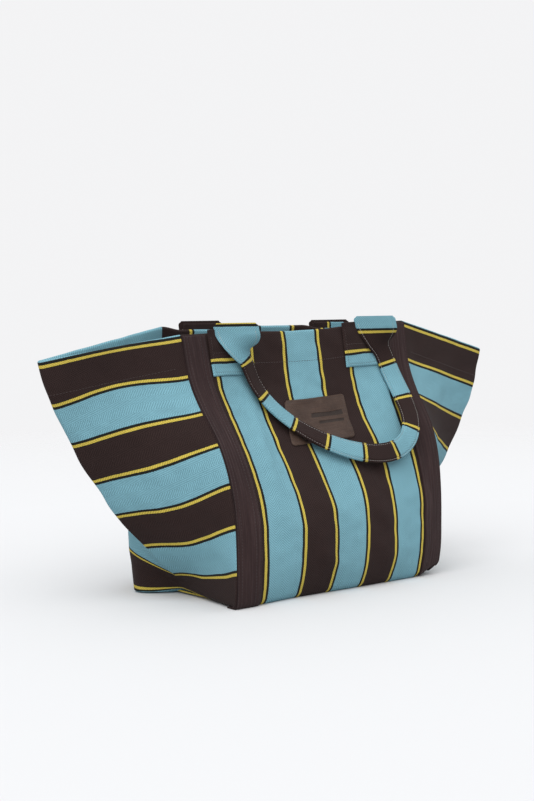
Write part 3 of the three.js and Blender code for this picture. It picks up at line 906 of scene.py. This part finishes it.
def handle_piece(prefix, mirror, body, look, shift):
    """One strap with its flat ends, its stripes and its two rows of stitches on each face."""
    x, s, off, width, thick, twist, deep = handle_line()
    if look >= 5:
        x, twist = x + 12 * rise(-x, 0, 110), twist * (1 - 2 * rise(s, 285, 318))
    under_rim = np.minimum(s, RIM)
    p, n, _ = side_frame(x, under_rim, look, False)
    p = p + n * off[:, None]
    p[:, 2] += np.maximum(s - RIM, 0)
    along = np.gradient(p, axis=0)
    along /= np.linalg.norm(along, axis=1, keepdims=True)
    # each flap hangs straight down from its crest
    half_way = len(p) // 2
    down = np.where(np.arange(len(p)) < half_way, -1.0, 1.0)[:, None] * np.array([0, 0, 1.0])
    share = rise(deep, 18, FLAP_LONG)[:, None]
    along = (1 - share) * down + share * along
    along /= np.linalg.norm(along, axis=1, keepdims=True)
    across = np.cross(along, n)
    across /= np.linalg.norm(across, axis=1, keepdims=True)
    face = np.cross(across, along)
    a = np.radians(twist)[:, None]
    across, face = across * np.cos(a) + face * np.sin(a), face * np.cos(a) - across * np.sin(a)
    length = np.r_[0, np.cumsum(np.linalg.norm(np.diff(p, axis=0), axis=1))]
    # cross-section: flat strap with round edges and a shallow groove where it is stitched
    q = np.linspace(-1, 1, 25)
    q = np.sin(q * 1.42) / math.sin(1.42)
    groove = 0.55 * (hump(np.abs(q), 0.80, 0.10))
    profile = (1 - np.abs(q) ** 7) ** 0.5 * (1 - groove)
    verts, uv = [], []
    for i in range(len(p)):
        h = thick[i] / 2
        swell = 1 + 0.10 * ripple(length[i], q * 12, 43 + look, 60, 20)
        crown = 0.25 * (1 - q ** 2)
        middle = p[i] + across[i] * (q * width[i] / 2)[:, None]
        top = middle + face[i] * ((profile * h + crown) * swell)[:, None]
        bottom = middle - face[i] * ((profile * h) * swell)[:, None]
        ring = np.vstack([top, bottom[-2:0:-1]])
        verts.append(ring)
        qq = np.r_[q, q[-2:0:-1]]
        uv.append(np.stack([np.full(len(ring), length[i] + shift), qq * width[i] / 2], -1))
    verts, uv = np.array(verts), np.array(uv)
    m, cols = verts.shape[:2]
    faces = []
    for j in range(cols):
        j2 = (j + 1) % cols
        r = np.arange(m - 1) * cols
        faces.append(np.stack([r + j, r + j2, r + cols + j2, r + cols + j], 1))
    # close both ends across the strap
    half = len(q)
    for base in (0, (m - 1) * cols):
        strip = []
        for j in range(1, half - 1):
            strip.append([base + j, base + j + 1, base + (cols - j - 1) % cols, base + (cols - j) % cols])
        cap = np.array(strip)
        cap = np.vstack([cap[:-1], [[base, base + 1, base + cols - 1, base + cols - 1]]])
        tri = [[base + half - 2, base + half - 1, base + half, base + half]]
        faces.append(np.vstack([cap, tri]))
    faces = np.vstack(faces)
    quads = faces[faces[:, 2] != faces[:, 3]]
    tris = faces[faces[:, 2] == faces[:, 3]][:, :3]
    ob = add_mesh_mixed(prefix + "_strap", verts.reshape(-1, 3), quads, tris, STRAP, uv, mirror)
    settle(ob, body, [prefix + "_handle"], flat=False)
    parts = []
    for want in (-0.80, 0.80):
        j = int(np.argmin(np.abs(q - want)))
        inner = slice(5, len(p) - 5)
        parts.append(stitches(verts[inner, j], face[inner], 3.4, 2.5, 0.5, 0.02))
        parts.append(stitches(verts[inner, (cols - j) % cols], -face[inner], 3.4, 2.5, 0.5, 0.02))
    v, f = join(parts)
    ob = add_mesh(prefix + "_strap_stitches", v, f, THREAD_PALE, None, mirror)
    settle(ob, body, flat=False)


# ---- leather label ----------------------------------------------------------------------------------------


# x and distance up the cloth, anticlockwise seen from the front. They follow a solver's output, moved
# by a few millimetres.
LABEL_CORNERS = ((-54, 181), (50, 186), (57, 251), (-40, 247))


def label_piece():
    """The leather label with its pressed bars and its edge stitches."""
    corner = np.array(LABEL_CORNERS, float)
    cols, rows = 110, 74
    u, v = np.meshgrid(np.linspace(0, 1, cols), np.linspace(0, 1, rows))

    def mix(a, b, t):
        return a + (b - a) * t[..., None]

    xs = mix(mix(corner[0], corner[1], u), mix(corner[3], corner[2], u), v)
    x, s = xs[..., 0], xs[..., 1]
    in_x, in_y = np.minimum(u, 1 - u) * LABEL_WIDE, np.minimum(v, 1 - v) * LABEL_HIGH
    edge = np.minimum(in_x, in_y)
    # rounded corners: the outline shrinks a little towards each corner
    near = np.hypot(np.clip(4 - in_x, 0, 4), np.clip(4 - in_y, 0, 4))
    pull = np.clip(near - 4, 0, 2)
    x = x + np.sign(0.5 - u) * pull * 0.7
    s = s + np.sign(0.5 - v) * pull * 0.7
    on_x, on_y = u * LABEL_WIDE, v * LABEL_HIGH

    def bar(left, right, low, high):
        return (rise(on_x, left - 0.5, left + 0.5) * (1 - rise(on_x, right - 0.5, right + 0.5))
                * rise(on_y, low - 0.5, low + 0.5) * (1 - rise(on_y, high - 0.5, high + 0.5)))

    pressed = np.maximum(bar(*BARS[0]), bar(*BARS[1]))
    puff = 0.35 * rise(edge, 0, 1.6) - 0.22 * hump(edge, 3.4, 0.9)
    off = 1.45 + puff + 0.35 * ripple(x, s, 91, 70, 35)
    p, n, _ = side_frame(x, s, 0)
    top = off + 0.85 - 0.4 * pressed
    centre = p + n * ((top + 0.35) / 2)[..., None]
    half = (top - 0.35) / 2
    uv = np.stack([on_x, on_y], -1)
    vv, f, t = shell_from(centre, n, half, uv)
    ob = add_mesh("label_patch", vv, f, LEATHER, t)
    settle(ob, "front_side", ["leather_label"])
    surface = centre + n * half[..., None]
    parts = []
    i, j = 4, 4
    for pts, nn in ((surface[i, j:-j], n[i, j:-j]), (surface[-1 - i, j:-j], n[-1 - i, j:-j]),
                    (surface[i:-i, j], n[i:-i, j]), (surface[i:-i, -1 - j], n[i:-i, -1 - j])):
        parts.append(stitches(pts, nn, 3.3, 2.3, 0.5, -0.05))
    vv, f = join(parts)
    ob = add_mesh("label_stitches", vv, f, THREAD_DARK)
    settle(ob, "front_side")


base_piece()
for prefix, mirror, body, look in BOTH:
    side_piece(prefix, mirror, body, look)
gusset_piece("left", (), 0)
gusset_piece("right", (0,), 1)
for prefix, mirror, body, look in BOTH:
    for hand in ("left", "right"):
        binding_piece(prefix, hand, mirror, body, look)
        tab_piece(prefix, hand, mirror, body, look)
    handle_piece(prefix, mirror, prefix + "_handle", look, STRIPE_START[prefix])
label_piece()

# ---- floor, light ---------------------------------------------------------------------------------


FLOOR_RADIUS = 14.0
KEY_FROM = (-0.65, -0.70, 1.0)


def make_stage():
    """A round pale floor that fades out, a studio world and one broad sun."""
    n = 96
    turns = [2 * math.pi * i / n for i in range(n)]
    ring = [(FLOOR_RADIUS * math.cos(t), FLOOR_RADIUS * math.sin(t), 0) for t in turns]
    me = bpy.data.meshes.new("floor")
    me.from_pydata(ring, [], [list(range(n))])
    floor = bpy.data.objects.new("floor", me)
    bpy.context.scene.collection.objects.link(floor)
    g = Graph("floor_paper")
    place = g.node("ShaderNodeTexCoord").outputs["Object"]
    cloud = g.noise(place, 1.2, 2)
    away = g.node("ShaderNodeVectorMath", {0: place}, operation="LENGTH").outputs["Value"]
    seen_at = g.math("MULTIPLY_ADD", cloud, 0.1, g.node("ShaderNodeLightPath").outputs["Is Camera Ray"])
    # the floor is lighter to the camera than to light that bounces off it
    colour = g.ramp(seen_at, [(0.1, (0.55, 0.55, 0.56)), (1.0, (0.76, 0.76, 0.767))])
    fade = g.remap(away, 0.9, 3.0, 1.0, 0.0)
    me.materials.append(g.finish(colour, Roughness=0.9, Specular_IOR_Level=0.1, Alpha=fade))
    world = bpy.data.worlds.new("studio")
    bpy.context.scene.world = world
    world.use_nodes = True
    tree = world.node_tree
    seen, lit = tree.nodes["Background"], tree.nodes.new("ShaderNodeBackground")
    seen.inputs[0].default_value, seen.inputs[1].default_value = (0.90, 0.90, 0.91, 1), 1.0
    lit.inputs[0].default_value = (0.97, 0.985, 1.0, 1)
    where, parts = tree.nodes.new("ShaderNodeTexCoord"), tree.nodes.new("ShaderNodeSeparateXYZ")
    upper = tree.nodes.new("ShaderNodeMapRange")
    for i, value in enumerate((-0.1, 0.8, 0.26, 1.0), 1):
        upper.inputs[i].default_value = value
    tree.links.new(where.outputs["Generated"], parts.inputs[0])
    tree.links.new(parts.outputs[2], upper.inputs[0])
    tree.links.new(upper.outputs[0], lit.inputs[1])
    mix, path = tree.nodes.new("ShaderNodeMixShader"), tree.nodes.new("ShaderNodeLightPath")
    tree.links.new(path.outputs["Is Camera Ray"], mix.inputs[0])
    tree.links.new(lit.outputs[0], mix.inputs[1])
    tree.links.new(seen.outputs[0], mix.inputs[2])
    tree.links.new(mix.outputs[0], tree.nodes["World Output"].inputs["Surface"])

    light = bpy.data.lights.new("key", "SUN")
    light.energy, light.angle = 1.8, math.radians(65)
    key = bpy.data.objects.new("key", light)
    key.rotation_mode = "QUATERNION"
    key.rotation_quaternion = (-Vector(KEY_FROM)).to_track_quat("-Z", "Y")
    bpy.context.scene.collection.objects.link(key)
    bpy.context.scene.view_settings.view_transform = "Standard"
    bpy.context.scene.view_settings.look = "None"


make_stage()
